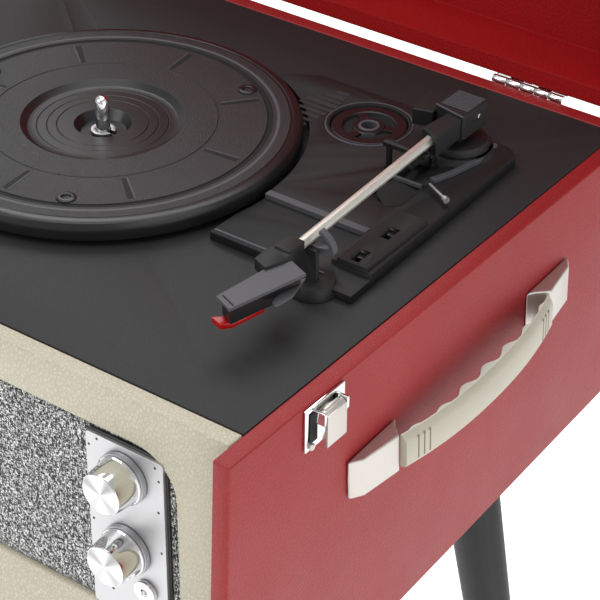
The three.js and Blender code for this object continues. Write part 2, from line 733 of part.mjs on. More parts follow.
function buildHandle() {
  const frame = new THREE.Group();
  frame.position.set(CASE.right, HANDLE.y, HANDLE.z);
  frame.rotation.x = HANDLE.tilt * DEG;
  group.add(frame);

  // The grip arches away from the case; its inner side has four finger hollows between
  // straight ends, and both ends run on into the brackets.
  const wave = 17.75;
  const hollows = 35.5;
  const ends = HANDLE.gripHalf + 5;
  const outerAt = (u) => Math.max(8.9 + HANDLE.rise * (1 - (u / HANDLE.gripHalf) ** 2), 7.6);
  const innerAt = (u) => {
    const reach = Math.abs(u);
    if (reach < hollows) return 10.6 + 3.2 * Math.abs(Math.sin((Math.PI * u) / wave));
    return Math.max(9 - (reach - hollows) * 0.42, 1.4);
  };
  const steps = 44;
  const outer = [];
  const inner = [];
  for (let i = 0; i <= steps; i += 1) {
    const u = ends * (-1 + (2 * i) / steps);
    outer.push([u, outerAt(u)]);
    inner.unshift([u, innerAt(u)]);
  }
  // Outline in local Y (along) and X (outwards), given its width along local Z.
  const bar = (points, width) =>
    extrude(outline(points.map(([u, out]) => [out, u])), width).translate(0, 0, -width / 2);
  add('handle_grip', bar([...outer, ...inner], HANDLE.width), IVORY, frame);

  const broad = HANDLE.width + 1.8;
  const socket = bar([...outer, ...inner], HANDLE.width + 2 * GAP);
  for (const [side, name] of [[-1, 'handle_bracket_front'], [1, 'handle_bracket_rear']]) {
    const half = HANDLE.half;
    const wedge = bar(
      [
        [side * half, GAP],
        [side * half, 3],
        [side * (half - 6), 4.6],
        [side * HANDLE.gripHalf, 9.6],
        [side * (HANDLE.gripHalf - 9), 1.8],
        [side * (HANDLE.gripHalf - 9), GAP],
      ],
      broad,
    );
    const u0 = side < 0 ? -half : half - 45;
    const radii = side < 0 ? [8, 0.5, 0.5, 8] : [0.5, 8, 8, 0.5];
    const plan = standing(roundedRect(u0, u0 + 45, -broad / 2, broad / 2, radii), 0, 20)
      .rotateZ(Math.PI / 2)
      .translate(20, 0, 0);
    add(name, cut(common(wedge, plan), socket), CHROME, frame);
  }
}

// -------------------------------------------------------------------- latches

function buildLatches() {
  for (const side of ['right', 'left']) {
    const out = side === 'right' ? 1 : -1;
    const face = side === 'right' ? CASE.right : CASE.left;
    const slab = (a, b, y0, y1, z0, z1) => {
      const xs = [face + out * a, face + out * b].sort((p, q) => p - q);
      return box(xs[0], xs[1], y0, y1, z0, z1);
    };
    const { y, width, top, bottom, pivotZ } = LATCH;
    const plate = slab(GAP, 1.5, y - width / 2, y + width / 2, bottom, top);
    const ears = [y - 8.6, y + 7.2].map((y0) => slab(1, 7.4, y0, y0 + 1.4, pivotZ - 3, pivotZ + 3));
    add(`latch_plate_${side}`, join(plate, ...ears), CHROME);

    const cover = slab(6.2, 7.6, y - 6.8, y + 6.8, bottom + 1.6, pivotZ + 1);
    const barrel = rodY(face + out * 4.8, pivotZ, y - 6.8, y + 6.8, 2.4, 2.4, 20);
    const web = slab(4.8, 7, y - 6.8, y + 6.8, pivotZ - 2, pivotZ + 1);
    const hook = slab(3.6, 5.2, y - 5, y + 5, pivotZ, pivotZ + 2.8);
    add(`latch_lever_${side}`, join(cover, barrel, web, hook), CHROME);
  }
}

// ----------------------------------------------------------- legs and innards

function buildLegs() {
  const spots = [
    ['front_left', -1, -1],
    ['front_right', 1, -1],
    ['rear_left', -1, 1],
    ['rear_right', 1, 1],
  ];
  for (const [name, sx, sy] of spots) {
    const x = sx > 0 ? CASE.right - LEG.insetX : CASE.left + LEG.insetX;
    const y = sy > 0 ? CASE.back - LEG.insetY : CASE.front + LEG.insetY;
    const plateTop = underside(y) - GAP;
    const plate = sideways(
      outline([
        [-30, -30 * CASE.floorSlope],
        [30, 30 * CASE.floorSlope],
        [30, 30 * CASE.floorSlope - 4],
        [-30, -30 * CASE.floorSlope - 4],
      ]),
      -30,
      30,
    );
    add(`leg_plate_${name}`, plate.translate(x, y, plateTop), STEEL);

    const topZ = plateTop - 4;
    const drop = topZ - LEG.floor;
    const stretch = drop + 20;
    const shaft = new THREE.CylinderGeometry(LEG.top + 0.4, LEG.tip, stretch, 28);
    shaft.rotateX(Math.PI / 2).translate(0, 0, LEG.floor + stretch / 2 - 4);
    const shear = new THREE.Matrix4().set(
      1, 0, -sx * LEG.splayX, x + sx * LEG.splayX * topZ,
      0, 1, -sy * LEG.splayY, y + sy * LEG.splayY * topZ,
      0, 0, 1, 0,
      0, 0, 0, 1,
    );
    shaft.applyMatrix4(shear);
    const tool = sideways(
      outline([
        [-90, -90 * CASE.floorSlope - GAP],
        [90, 90 * CASE.floorSlope - GAP],
        [90, 60],
        [-90, 60],
      ]),
      -90,
      90,
    ).translate(x, y, topZ);
    const ground = box(x - 200, x + 200, y - 200, y + 200, LEG.floor - 40, LEG.floor);
    add(`leg_${name}`, cut(shaft, tool, ground), LACQUER);
  }
}

function buildElectronics() {
  const z = underside(0) + BOARD + 3;
  const board = box(10, 110, -60, 20, z + 6, z + 7.6);
  const sink = box(84, 106, -56, 16, z + 7, z + 25);
  const capacitors = [[28, -40], [50, -40], [28, -10]].map(([x, y]) =>
    drum(x, y, z + 7, z + 24, 6.5, 6.5, 20),
  );
  const pillars = [[16, -54], [104, -54], [16, 14], [104, 14]].map(([x, y]) =>
    drum(x, y, z, z + 7, 3, 3, 12),
  );
  add('amplifier_board', join(board, sink, ...capacitors, ...pillars), BOARD_GREEN);
}

buildCase();
buildConnectors();
buildGrille();
buildControls();
buildPlatter();
buildDrive();
buildBase();
buildAdapter();
buildSwitches();
buildTurret();
buildArm();
buildCueing();
buildRestClip();
buildLid();
buildHinges();
buildHandle();
buildLatches();
buildLegs();
buildElectronics();

// Origin: the middle of the footprint, on the floor.
const player = new THREE.Group();
player.add(group);
player.updateMatrixWorld(true);
const extent = new THREE.Box3().setFromObject(player, true);
group.position.set(
  -(extent.min.x + extent.max.x) / 2,
  -(extent.min.y + extent.max.y) / 2,
  -extent.min.z,
);

export default player;
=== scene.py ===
"""Suitcase record player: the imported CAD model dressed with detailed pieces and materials."""

import math

import bmesh
import bpy
from mathutils import Matrix, Vector


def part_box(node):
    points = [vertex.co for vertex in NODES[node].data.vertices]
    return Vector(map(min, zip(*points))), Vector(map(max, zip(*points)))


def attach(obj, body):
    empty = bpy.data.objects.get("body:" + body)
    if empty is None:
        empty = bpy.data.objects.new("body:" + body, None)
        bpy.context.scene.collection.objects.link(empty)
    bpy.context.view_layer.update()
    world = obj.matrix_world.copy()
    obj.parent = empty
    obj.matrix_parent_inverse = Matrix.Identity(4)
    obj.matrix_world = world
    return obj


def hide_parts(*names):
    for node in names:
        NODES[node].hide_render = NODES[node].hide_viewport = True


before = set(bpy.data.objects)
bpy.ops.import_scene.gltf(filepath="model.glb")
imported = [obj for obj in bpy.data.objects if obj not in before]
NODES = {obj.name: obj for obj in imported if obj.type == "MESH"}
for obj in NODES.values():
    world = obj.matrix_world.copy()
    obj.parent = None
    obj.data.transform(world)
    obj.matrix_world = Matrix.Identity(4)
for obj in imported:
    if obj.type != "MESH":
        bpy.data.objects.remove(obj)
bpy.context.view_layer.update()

MM = 0.001

# Places of the pieces built here, in millimetres from the spindle's axis at deck
# height: X to the right, Y to the back and Z up.
CASE_LEFT = -191.5
CASE_RIGHT = 208.5
KNOB_X = 143
VOLUME_Z = -42.2
FUNCTION_Z = -81.6
KNOB_FACE_Y = -172.5
SOCKET = (153, -100.6)
CLEAR_OF_SHAFT = 7
WELL = (102.3, 80.8)
PANEL = {"left": 122, "right": 165.6, "bottom": -121.6, "top": -25.2, "front": -156.9, "back": -153.9}
PANEL_CHAMFER_Y = -155.2
PLATTER_SPOKES = 8
SPOKE_START = 50
GROMMET_ANGLES = (58.8, -62.2, 178.3)
GROMMET_RADIUS = 75.8
HANDLE = {"y": 4.5, "z": -53.0, "tilt": 3.05, "half": 62, "half_width": 9.4}
GRIP_GROOVES = (-55, -51.5, -48, 48, 51.5, 55)
BRACKET_HALF_WIDTH = 10.3


# ------------------------------------------------------------- the working frame

def middle(node):
    """Centre of a CAD node's box, in metres."""
    low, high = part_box(node)
    return (low + high) / 2


# Pieces are laid out in millimetres from the spindle's axis at deck height.
DECK_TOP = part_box("deck_board")[1].z
ORIGIN = Vector((middle("spindle").x, middle("spindle").y, DECK_TOP))
DECK = Matrix.Translation(ORIGIN) @ Matrix.Scale(MM, 4)


def at(x, y, z):
    """Millimetres from the spindle at deck height -> metres in the shared frame."""
    return DECK @ Vector((x, y, z))


def mm(node):
    """A CAD node's lowest and highest corner, in millimetres from the spindle."""
    inverse = DECK.inverted()
    low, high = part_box(node)
    return inverse @ low, inverse @ high


# ------------------------------------------------------------------------ camera

CAMERA_AT = at(618.906, -685.693, 527.229)
AZIMUTH = math.radians(36.053)
ELEVATION = math.radians(34.099)
ROLL = math.radians(0.359)
LENS = 129.0


def add_camera():
    forward = -Vector((
        math.sin(AZIMUTH) * math.cos(ELEVATION),
        -math.cos(AZIMUTH) * math.cos(ELEVATION),
        math.sin(ELEVATION),
    ))
    level = forward.cross(Vector((0, 0, 1))).normalized()
    top = level.cross(forward)
    right = level * math.cos(ROLL) + top * math.sin(ROLL)
    up = top * math.cos(ROLL) - level * math.sin(ROLL)
    turn = Matrix((right, up, -forward)).transposed().to_4x4()
    data = bpy.data.cameras.new("camera")
    data.sensor_width = 36.0
    data.lens = LENS
    data.clip_start = 0.05
    data.clip_end = 20.0
    camera = bpy.data.objects.new("camera", data)
    camera.matrix_world = Matrix.Translation(CAMERA_AT) @ turn
    bpy.context.scene.collection.objects.link(camera)
    bpy.context.scene.camera = camera


def add_area(name, place, aim, size, power, color=(1, 1, 1)):
    data = bpy.data.lights.new(name, "AREA")
    data.shape = "RECTANGLE"
    data.size, data.size_y = size
    data.energy = power
    data.color = color
    lamp = bpy.data.objects.new(name, data)
    lamp.location = place
    lamp.rotation_euler = (Vector(aim) - Vector(place)).to_track_quat("-Z", "Y").to_euler()
    bpy.context.scene.collection.objects.link(lamp)


def add_studio():
    bpy.context.scene.view_settings.view_transform = "Standard"
    world = bpy.data.worlds.new("studio")
    bpy.context.scene.world = world
    world.use_nodes = True
    shade = world.node_tree.nodes["Background"]
    shade.inputs["Color"].default_value = (1, 1, 1, 1)
    shade.inputs["Strength"].default_value = 0.50
    target = ORIGIN
    add_area("key", target + Vector((-0.9, -1.5, 1.3)), target, (1.3, 1.3), 13)
    add_area("side", target + Vector((1.9, -0.5, 0.5)), target, (1.5, 1.3), 9.5)
    add_area("rear", target + Vector((-0.5, 0.8, 1.15)), target + Vector((0, -0.1, 0)), (1.2, 0.8), 11)
    add_area("top", target + Vector((0.1, -0.2, 1.7)), target, (1.4, 1.4), 9)

    bpy.ops.mesh.primitive_plane_add(size=60, location=(0, 0, 0))
    floor = bpy.context.object
    floor.name = "floor"
    paper = Shader("floor_white", (0.9, 0.9, 0.9), 0.8)
    paper.bsdf.inputs["Emission Color"].default_value = (1, 1, 1, 1)
    paper.bsdf.inputs["Emission Strength"].default_value = 0.6
    paper.gloss(paper.noise(4), 0.75, 0.85)
    floor.data.materials.append(paper.material)


# --------------------------------------------------------------------- materials

class Shader:
    """One procedural material: a Principled shader and the nodes that feed it."""

    def __init__(self, name, color, roughness, metallic=0.0, **sockets):
        self.material = bpy.data.materials.new(name)
        self.material.use_nodes = True
        self.tree = self.material.node_tree
        self.bsdf = self.tree.nodes["Principled BSDF"]
        self.color = color
        self.bsdf.inputs["Base Color"].default_value = (*color, 1)
        self.bsdf.inputs["Roughness"].default_value = roughness
        self.bsdf.inputs["Metallic"].default_value = metallic
        for key, value in sockets.items():
            self.bsdf.inputs[key.replace("_", " ")].default_value = value
        self.place = None
        self.height = None

    def node(self, kind, **values):
        node = self.tree.nodes.new(kind)
        for key, value in values.items():
            setattr(node, key, value)
        return node

    def link(self, source, target):
        self.tree.links.new(source, target)

    def coordinates(self):
        if self.place is None:
            self.place = self.node("ShaderNodeTexCoord").outputs["Object"]
        return self.place

    def scaled(self, scale):
        """Object coordinates, stretched by a scale along each axis."""
        node = self.node("ShaderNodeMapping")
        node.inputs["Scale"].default_value = scale
        self.link(self.coordinates(), node.inputs["Vector"])
        return node.outputs["Vector"]

    def noise(self, scale, detail=3.0, rough=0.55, stretch=(1, 1, 1)):
        node = self.node("ShaderNodeTexNoise")
        node.inputs["Scale"].default_value = scale
        node.inputs["Detail"].default_value = detail
        node.inputs["Roughness"].default_value = rough
        self.link(self.scaled(stretch), node.inputs["Vector"])
        return node.outputs["Fac"]

    def cells(self, scale, feature="F1", stretch=(1, 1, 1), randomness=1.0, output="Distance"):
        node = self.node("ShaderNodeTexVoronoi", feature=feature)
        node.inputs["Scale"].default_value = scale
        node.inputs["Randomness"].default_value = randomness
        self.link(self.scaled(stretch), node.inputs["Vector"])
        return node.outputs[output]

    def ramp(self, value, *stops):
        """Colour ramp; each stop is (position, grey or colour)."""
        node = self.node("ShaderNodeValToRGB")
        ramp = node.color_ramp
        while len(ramp.elements) < len(stops):
            ramp.elements.new(0.5)
        for element, (position, color) in zip(ramp.elements, stops):
            element.position = position
            shade = color if isinstance(color, tuple) else (color,) * 3
            element.color = (*shade, 1)
        self.link(value, node.inputs["Fac"])
        return node.outputs["Color"]

    def math(self, operation, a, b):
        node = self.node("ShaderNodeMath", operation=operation)
        for socket, value in zip(node.inputs, (a, b)):
            if isinstance(value, (int, float)):
                socket.default_value = value
            else:
                self.link(value, socket)
        return node.outputs["Value"]

    def tint(self, value, low, high):
        """Base colour times a factor that goes from low to high with value."""
        shades = [tuple(c * k for c in self.color) for k in (low, high)]
        self.link(self.ramp(value, (0.0, shades[0]), (1.0, shades[1])), self.bsdf.inputs["Base Color"])

    def gloss(self, value, low, high):
        """Roughness from low to high with value."""
        self.link(self.ramp(value, (0.0, low), (1.0, high)), self.bsdf.inputs["Roughness"])

    def bump(self, value, depth_mm, strength=1.0):
        node = self.node("ShaderNodeBump")
        node.inputs["Strength"].default_value = strength
        node.inputs["Distance"].default_value = depth_mm * MM
        self.link(value, node.inputs["Height"])
        if self.height is not None:
            self.link(self.height, node.inputs["Normal"])
        self.height = node.outputs["Normal"]
        self.link(self.height, self.bsdf.inputs["Normal"])


def plain(name, color, roughness, metallic=0.0):
    """Even paint with a trace of unevenness in its gloss."""
    shader = Shader(name, color, roughness, metallic)
    shader.gloss(shader.noise(40), roughness * 0.9, min(1.0, roughness * 1.1))
    return shader.material


def leatherette(name, color, roughness, pebble=620, depth=0.10, **sockets):
    """Embossed vinyl: pebbled cells with creases darkened as painted shade, and patches of wear."""
    shader = Shader(name, color, roughness, 0.0, **sockets)
    creases = shader.cells(pebble, "DISTANCE_TO_EDGE", (1, 1, 0.7))
    fine = shader.noise(2400, 2.0)
    # Darker along the cell edges: painted shade in the creases; the slow noise adds patches of wear.
    shader.tint(shader.math("ADD", shader.math("MULTIPLY", creases, 2.2), shader.noise(9, 4.0)), 0.72, 1.1)
    shader.gloss(shader.noise(30, 4.0), roughness * 0.85, roughness * 1.15)
    shader.bump(shader.ramp(creases, (0.0, 0.0), (0.28, 1.0)), depth)
    shader.bump(fine, depth * 0.35, 0.6)
    return shader.material


def moulded(name, color, roughness, grain=1900, depth=0.05):
    """Moulded plastic with an eroded fine grain."""
    shader = Shader(name, color, roughness)
    grain_value = shader.noise(grain, 3.0, 0.6)
    shader.tint(shader.noise(18, 4.0), 0.85, 1.15)
    shader.gloss(grain_value, roughness * 0.85, roughness * 1.2)
    shader.bump(grain_value, depth)
    return shader.material


def polished(name, color, roughness):
    shader = Shader(name, color, roughness, 1.0)
    smudge = shader.noise(60, 5.0, 0.6)
    shader.gloss(smudge, roughness * 0.7, roughness * 1.6)
    shader.bump(shader.noise(180, 2.0), 0.01, 0.4)
    return shader.material


def satin_metal(name, color, roughness, stretch=(1, 1, 1)):
    shader = Shader(name, color, roughness, 0.95)
    streaks = shader.noise(900, 3.0, 0.7, stretch)
    shader.gloss(streaks, roughness * 0.85, roughness * 1.2)
    shader.tint(streaks, 0.93, 1.05)
    shader.bump(streaks, 0.01, 0.5)
    return shader.material


def tweed_cloth():
    """Black and white yarns: short random floats of warp over weft, on a dark ground."""
    shader = Shader("tweed", (0.30, 0.30, 0.31), 0.95, Sheen_Weight=0.2)

    def yarns(wide_mm, tall_mm, slant):
        place = shader.node("ShaderNodeMapping")
        place.inputs["Rotation"].default_value = (0, slant, 0)
        place.inputs["Scale"].default_value = (1 / (wide_mm * MM), 0.0, 1 / (tall_mm * MM))
        shader.link(shader.coordinates(), place.inputs["Vector"])
        snap = shader.node("ShaderNodeVectorMath", operation="FLOOR")
        shader.link(place.outputs["Vector"], snap.inputs[0])
        random = shader.node("ShaderNodeTexWhiteNoise", noise_dimensions="3D")
        shader.link(snap.outputs["Vector"], random.inputs["Vector"])
        return random.outputs["Value"]

    warp = yarns(0.42, 1.25, 0.06)
    weft = yarns(1.15, 0.45, -0.05)
    knots = yarns(0.5, 0.5, 0.6)
    blend = shader.math("ADD", shader.math("MULTIPLY", warp, 0.42), shader.math("MULTIPLY", weft, 0.36))
    mixed = shader.math("ADD", blend, shader.math("MULTIPLY", knots, 0.22))
    color = shader.ramp(
        mixed, (0.30, 0.003), (0.43, 0.03), (0.50, 0.12), (0.60, 0.42), (0.74, 0.92)
    )
    shader.link(color, shader.bsdf.inputs["Base Color"])
    shader.bump(mixed, 0.35)
    return shader.material


def turned_face_painted_reflection(name, centre):
    """Turned metal face: a painted reflection, a fan of light and dark about the axis in its colour, and
    fine rings.
    """
    shader = Shader(name, (0.80, 0.80, 0.80), 0.28, 1.0)
    shift = shader.node("ShaderNodeVectorMath", operation="SUBTRACT")
    shader.link(shader.coordinates(), shift.inputs[0])
    shift.inputs[1].default_value = centre
    split = shader.node("ShaderNodeSeparateXYZ")
    shader.link(shift.outputs["Vector"], split.inputs["Vector"])
    angle = shader.math("ARCTAN2", split.outputs["Z"], split.outputs["X"])
    # The fan of light and dark is painted reflection: the turned face's conic highlight put into the base
    # colour.
    painted_glint_fan = shader.math("SINE", shader.math("ADD", shader.math("MULTIPLY", angle, 4.0), 0.9), 0.0)
    slow = shader.math("SINE", shader.math("ADD", shader.math("MULTIPLY", angle, 3.0), 2.2), 0.0)
    painted_reflection_bands = shader.math("ADD", shader.math("MULTIPLY", painted_glint_fan, 0.26), shader.math("MULTIPLY", slow, 0.16))
    value = shader.math("ADD", painted_reflection_bands, 0.52)
    shades = shader.ramp(value, (0.1, 0.36), (0.55, 0.72), (0.9, 0.98))
    shader.link(shades, shader.bsdf.inputs["Base Color"])
    length = shader.node("ShaderNodeVectorMath", operation="LENGTH")
    shader.link(shift.outputs["Vector"], length.inputs[0])
    rings = shader.math("SINE", shader.math("MULTIPLY", length.outputs["Value"], 42000.0), 0.0)
    shader.bump(rings, 0.006, 0.5)
    return shader.material


def ruled(name, color, roughness, pitch_mm, axis):
    """Fine moulded ribs: lines across one axis, lighter on the crests and darker between: painted highlight
    and shade.
    """
    shader = Shader(name, color, roughness)
    split = shader.node("ShaderNodeSeparateXYZ")
    shader.link(shader.coordinates(), split.inputs["Vector"])
    turns = shader.math("MULTIPLY", split.outputs[axis], 2 * math.pi / (pitch_mm * MM))
    wave = shader.math("SINE", turns, 0.0)
    level = shader.math("ADD", shader.math("MULTIPLY", wave, 0.5), 0.5)
    # Crests lighter and troughs darker: painted highlight and painted shade on the ribs.
    shader.tint(level, 0.35, 1.5)
    shader.bump(level, 0.3)
    return shader.material


def build_materials():
    return {
        "red": leatherette("red_leatherette", (0.29, 0.008, 0.010), 0.52),
        "lining": leatherette("lining_leatherette", (0.28, 0.0015, 0.002), 0.68, Specular_IOR_Level=0.2),
        "cream": leatherette("cream_leatherette", (0.52, 0.485, 0.375), 0.52, 560, 0.14),
        "deck": moulded("deck_vinyl", (0.012, 0.012, 0.013), 0.60, 1300, 0.12),
        "moulded": moulded("moulded_black", (0.0045, 0.0045, 0.005), 0.56),
        "raised": moulded("moulded_grey", (0.075, 0.075, 0.084), 0.50),
        "platter": leatherette("platter_grain", (0.018, 0.018, 0.020), 0.46, 1000, 0.09),
        "smooth": moulded("smooth_black", (0.009, 0.009, 0.010), 0.30, 2600, 0.02),
        # Near-black sheets laid in slots, hollows and recesses: painted shadow.
        "painted_shadow": moulded("shadow_black", (0.0015, 0.0015, 0.0015), 0.7, 900, 0.02),
        "ribbed": ruled("ribbed_black", (0.026, 0.026, 0.029), 0.45, 1.35, "Y"),
        "chrome": polished("chrome", (0.80, 0.80, 0.80), 0.06),
        "pale_chrome": satin_metal("pale_chrome", (0.60, 0.57, 0.53), 0.42),
        "silver": satin_metal("satin_silver", (0.62, 0.62, 0.63), 0.44),
        "skirt": satin_metal("knob_skirt", (0.42, 0.42, 0.43), 0.30),
        "arm": satin_metal("arm_silver", (0.80, 0.80, 0.73), 0.42, (1, 0.05, 1)),
        "brass": polished("turned_brass", (0.60, 0.44, 0.20), 0.25),
        "steel": satin_metal("zinc_steel", (0.48, 0.48, 0.50), 0.38),
        "tweed": tweed_cloth(),
        "fibre": moulded("fibreboard", (0.03, 0.028, 0.026), 0.85, 900, 0.12),
        "cone": moulded("paper_cone", (0.02, 0.02, 0.022), 0.8, 1500, 0.1),
        "rubber": moulded("rubber", (0.012, 0.012, 0.013), 0.7, 1500, 0.04),
        "ivory": moulded("ivory_plastic", (0.46, 0.43, 0.345), 0.42, 1400, 0.03),
        # A lighter copy of the ivory for the grip's top face: painted highlight.
        "ivory_highlight": moulded("ivory_painted_highlight", (0.62, 0.61, 0.53), 0.45, 1400, 0.03),
        # Dark brown for the grip's grooves: painted shade.
        "painted_groove_shade": plain("ivory_groove_painted_shade", (0.20, 0.165, 0.11), 0.6),
        "lacquer": moulded("leg_lacquer", (0.004, 0.004, 0.005), 0.52, 300, 0.03),
        "green": moulded("circuit_board", (0.02, 0.12, 0.04), 0.4, 500, 0.03),
        "stylus": moulded("stylus_red", (0.42, 0.003, 0.005), 0.30, 1500, 0.01),
    }


# ------------------------------------------------------------------ mesh building

def flat(u, v, w):
    return (u, v, w)


def front(u, v, w):
    """Outline in X and Z, depth along Y."""
    return (u, w, v)


def side(u, v, w):
    """Outline in Y and Z, depth along X."""
    return (w, u, v)


def arc(x, y, radius, start, end, count=8):
    """Points on an arc, in degrees."""
    steps = [math.radians(start + (end - start) * i / count) for i in range(count + 1)]
    return [(x + radius * math.cos(a), y + radius * math.sin(a)) for a in steps]


def turned_outline(outline, degrees, centre=(0, 0)):
    """Outline turned about the origin, then moved to a centre."""
    c, s = math.cos(math.radians(degrees)), math.sin(math.radians(degrees))
    return [(centre[0] + u * c - v * s, centre[1] + u * s + v * c) for u, v in outline]


def rounded(x0, x1, y0, y1, radii, count=8):
    """Rectangle whose corner radii are given from the lower left, anticlockwise."""
    bl, br, tr, tl = radii
    return (
        arc(x0 + bl, y0 + bl, bl, 180, 270, count) + arc(x1 - br, y0 + br, br, 270, 360, count)
        + arc(x1 - tr, y1 - tr, tr, 0, 90, count) + arc(x0 + tl, y1 - tl, tl, 90, 180, count)
    )


class Shape:
    """Faces gathered in millimetres from the spindle, then made into one piece."""

    def __init__(self):
        self.mesh = bmesh.new()
        self.finish = 0

    def face(self, verts):
        if len(set(verts)) > 2 and not self.mesh.faces.get(verts):
            self.mesh.faces.new(verts).material_index = self.finish

    def loft(self, rings, caps=True):
        rows = [[self.mesh.verts.new(p) for p in ring] for ring in rings]
        count = len(rows[0])
        for a, b in zip(rows, rows[1:]):
            for i in range(count):
                j = (i + 1) % count
                self.face((a[i], a[j], b[j], b[i]))
        if caps:
            self.face(rows[0][::-1])
            self.face(rows[-1])
        return self

    def prism(self, outline, low, high, place=flat):
        return self.loft([[place(u, v, w) for u, v in outline] for w in (low, high)])

    def box(self, x0, x1, y0, y1, z0, z1):
        return self.prism([(x0, y0), (x1, y0), (x1, y1), (x0, y1)], z0, z1)

    def lathe(self, profile, centre=(0, 0), sides=64, place=flat, finishes=None):
        """Profile of (radius, height) about centre; finishes gives a slot to each segment."""
        rings = [
            [place(centre[0] + max(r, 0.01) * math.cos(t), centre[1] + max(r, 0.01) * math.sin(t), h)
             for t in [2 * math.pi * k / sides for k in range(sides)]]
            for r, h in profile
        ]
        rows = [[self.mesh.verts.new(p) for p in ring] for ring in rings]
        for n, (a, b) in enumerate(zip(rows, rows[1:])):
            self.finish = finishes[n] if finishes else self.finish
            for i in range(sides):
                j = (i + 1) % sides
                self.face((a[i], a[j], b[j], b[i]))
        for row, (r, _) in ((rows[0], profile[0]), (rows[-1], profile[-1])):
            if r < 0.5:
                self.face(row)
        return self

    def tube(self, path, radius, sides=12):
        path = [Vector(p) for p in path]
        rings = []
        for i, p in enumerate(path):
            ahead = path[min(i + 1, len(path) - 1)] - path[max(i - 1, 0)]
            level = abs(ahead.normalized().z) < 0.9
            across = ahead.cross(Vector((0, 0, 1)) if level else Vector((1, 0, 0))).normalized()
            rise = across.cross(ahead).normalized()
            r = radius[i] if isinstance(radius, (list, tuple)) else radius
            rings.append([
                p + across * (r * math.cos(t)) + rise * (r * math.sin(t))
                for t in [2 * math.pi * k / sides for k in range(sides)]
            ])
        return self.loft(rings)


def make(name, shape, materials, body, replaces=(), bevel=0.2, angle=32):
    """Turns a Shape into a piece that rides on a CAD body."""
    mesh = bpy.data.meshes.new(name)
    bmesh.ops.remove_doubles(shape.mesh, verts=shape.mesh.verts, dist=1e-4)
    bmesh.ops.recalc_face_normals(shape.mesh, faces=shape.mesh.faces)
    bmesh.ops.transform(shape.mesh, matrix=DECK, verts=shape.mesh.verts)
    for face in shape.mesh.faces:
        face.smooth = True
    shape.mesh.to_mesh(mesh)
    shape.mesh.free()
    for material in materials:
        mesh.materials.append(material)
    obj = bpy.data.objects.new(name, mesh)
    bpy.context.scene.collection.objects.link(obj)
    edge = obj.modifiers.new("edges", "BEVEL")
    edge.width = bevel * MM
    edge.segments = 2
    edge.limit_method = "ANGLE"
    edge.angle_limit = math.radians(angle)
    edge.harden_normals = True
    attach(obj, body)
    if replaces:
        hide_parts(*replaces)
    return obj


# ------------------------------------------------------------------ CAD nodes kept

def dress(node, material, bevel=0.0, angle=35):
    """Gives a CAD node its finish and softens its edges without touching its mesh."""
    obj = NODES[node]
    obj.data.materials.clear()
    obj.data.materials.append(material)
    for polygon in obj.data.polygons:
        polygon.material_index = 0
        polygon.use_smooth = True
    weld = obj.modifiers.new("weld", "WELD")
    weld.merge_threshold = 2e-6
    width = bevel if bevel else 0.08
    edge = obj.modifiers.new("edges", "BEVEL")
    edge.width = width * MM
    edge.segments = 3 if bevel > 0.5 else 2
    edge.limit_method = "ANGLE"
    edge.angle_limit = math.radians(angle)
    edge.harden_normals = True
    return obj


def dress_case(mats):
    for node in ("side_panel_left", "side_panel_right", "back_panel"):
        dress(node, mats["red"], 1.1)
    dress("front_baffle", mats["cream"], 1.4)
    dress("bottom_panel", mats["fibre"], 0.5)
    dress("deck_board", mats["deck"], 0.3)
    dress("lid_shell", mats["lining"], 1.2)
    for node in ("connector_plate",):
        dress(node, mats["moulded"], 0.4)
    for side in ("left", "right"):
        dress(f"hinge_leaf_{side}", mats["chrome"], 0.2)
        dress(f"lid_hinge_leaf_{side}", mats["chrome"], 0.2)
        dress(f"lid_catch_{side}", mats["chrome"], 0.3)
        dress(f"latch_plate_{side}", mats["chrome"], 0.3)
        dress(f"latch_lever_{side}", mats["chrome"], 0.5)
        dress(f"speaker_{side}", mats["cone"], 0.3)
        for end in ("front", "rear"):
            dress(f"leg_{end}_{side}", mats["lacquer"], 0.8)
            dress(f"leg_plate_{end}_{side}", mats["steel"], 0.4)


def dress_rest(mats):
    finishes = {
        "grille_board": "fibre", "volume_potentiometer": "steel", "function_potentiometer": "steel",
        "headphone_socket": "chrome", "spindle": "chrome", "spindle_clip": "steel",
        "bearing_bush": "brass", "motor": "steel", "motor_pulley": "brass", "drive_belt": "rubber",
        "turntable_base": "moulded", "speed_switch": "smooth", "stop_switch": "smooth",
        "arm_turret": "moulded", "headshell": "moulded", "stylus": "stylus",
        "cue_lever": "moulded", "arm_lift": "moulded", "arm_clip": "raised",
        "amplifier_board": "green",
    }
    for node, finish in finishes.items():
        dress(node, mats[finish], 0.25)


# ------------------------------------------------------------------ front controls

def build_cloth(mats):
    """One taut sheet over the grille board, cut clear of the shafts behind the panel."""
    low, high = mm("grille_cloth")
    shape = Shape()
    step = 6.0
    across = int((high.x - low.x) / step)
    tall = int((high.z - low.z) / step)
    xs = [low.x + 0.3 + (high.x - low.x - 0.6) * i / across for i in range(across + 1)]
    zs = [low.z + 0.3 + (high.z - low.z - 0.6) * k / tall for k in range(tall + 1)]

    def depth(x, z):
        return low.y + 0.25 + 0.12 * math.sin(x / 23.0) * math.sin(z / 17.0)

    rows = [[shape.mesh.verts.new((x, depth(x, z), z)) for x in xs] for z in zs]
    shafts = ((KNOB_X, VOLUME_Z), (KNOB_X, FUNCTION_Z), SOCKET)
    for k in range(tall):
        for i in range(across):
            x, z = (xs[i] + xs[i + 1]) / 2, (zs[k] + zs[k + 1]) / 2
            if any(abs(x - hx) < CLEAR_OF_SHAFT and abs(z - hz) < CLEAR_OF_SHAFT for hx, hz in shafts):
                continue
            shape.face((rows[k][i], rows[k][i + 1], rows[k + 1][i + 1], rows[k + 1][i]))
    cloth = make(
        "grille_tweed", shape, [mats["tweed"]], "cabinet", ["grille_cloth"], 0.01, 80
    )
    thick = cloth.modifiers.new("weave", "SOLIDIFY")
    thick.thickness = 0.6 * MM
    thick.offset = 0.0


